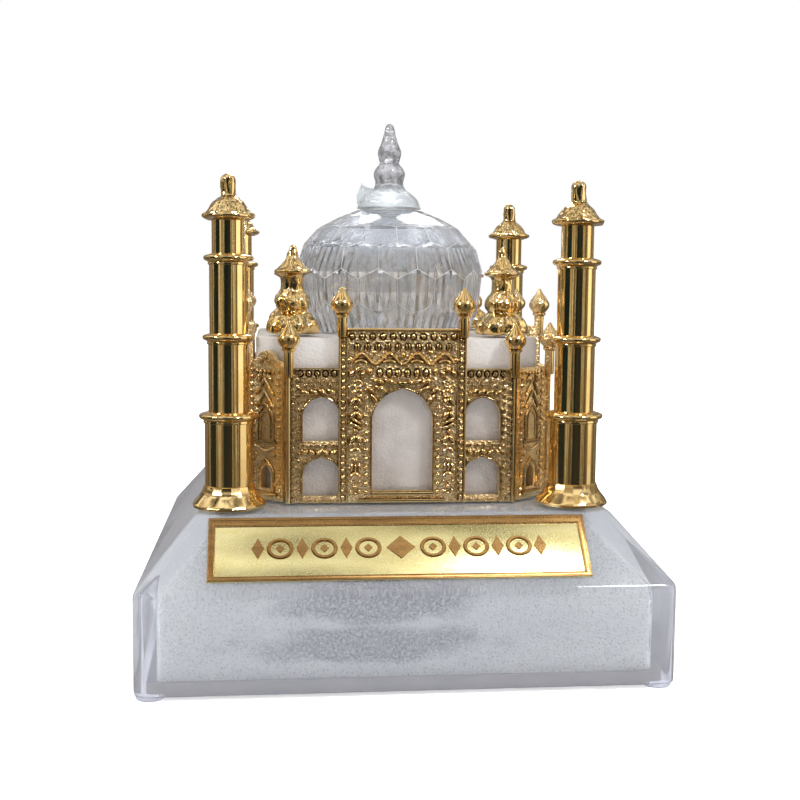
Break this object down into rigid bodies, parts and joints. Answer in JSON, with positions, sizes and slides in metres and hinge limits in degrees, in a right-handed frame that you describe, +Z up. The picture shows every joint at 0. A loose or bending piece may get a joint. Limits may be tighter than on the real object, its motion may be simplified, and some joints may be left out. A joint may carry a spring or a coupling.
{
  "type": "miniature landmark model",
  "caption": "Desk souvenir of a domed mausoleum: gilt towers, facades and roof kiosks round a clear block and faceted dome, on a hollow frosted plinth with a small switched light under it.",
  "frame": {"origin": "middle of the plane that the four feet stand on, under the dome", "axes": "+Z up along the dome's axis, -Y out of the front facade and the label, +X to the viewer's right when facing the front"},
  "size_m": [0.0816, 0.0816, 0.0892],
  "materials": {
    "clear_plinth": "clear moulded styrene, smooth outside, grained inside",
    "clear_dome": "clear moulded styrene with cut facets",
    "frosted_block": "clear moulded styrene with a frosted skin",
    "plated_gold": "vacuum-plated mirror gold on moulded plastic",
    "gold_foil": "embossed pale gold foil",
    "plate_backing": "moulded matt grey-brown plastic",
    "white_housing": "moulded white plastic, satin",
    "black_switch": "moulded black plastic",
    "board_green": "circuit board with lacquer",
    "lamp_lens": "clear epoxy lens",
    "nickel_steel": "nickel-plated steel"
  },
  "bodies": {
    "model": {"base_shell": "clear_plinth", "bottom_plate": "plate_backing", "label_plate": "gold_foil", "inner_block": "frosted_block", "dome": "clear_dome", "finial": "clear_dome", "minaret_front_left": "plated_gold", "minaret_front_right": "plated_gold", "minaret_back_left": "plated_gold", "minaret_back_right": "plated_gold", "kiosk_front_left": "plated_gold", "kiosk_front_right": "plated_gold", "kiosk_back_left": "plated_gold", "kiosk_back_right": "plated_gold", "facade_front": "plated_gold", "facade_right": "plated_gold", "facade_back": "plated_gold", "facade_left": "plated_gold", "corner_panel_front_left": "plated_gold", "corner_panel_front_right": "plated_gold", "corner_panel_back_left": "plated_gold", "corner_panel_back_right": "plated_gold", "light_housing": "white_housing", "housing_screw_front": "nickel_steel", "housing_screw_back": "nickel_steel", "circuit_board": "board_green", "lamp": "lamp_lens", "button_cell_1": "nickel_steel", "button_cell_2": "nickel_steel", "button_cell_3": "nickel_steel", "contact_bridge_top": "nickel_steel", "contact_bridge_bottom": "nickel_steel", "contact_end_top": "nickel_steel", "contact_end_bottom": "nickel_steel", "switch_body": "black_switch", "battery_door": "plate_backing", "door_screw": "nickel_steel"},
    "switch": {"switch_knob": "black_switch"}
  },
  "joints": [
    {"name": "switch_slide", "type": "slide", "parent": "model", "child": "switch", "axis": [1, 0, 0], "range_m": [0, 0.003]}
  ]
}
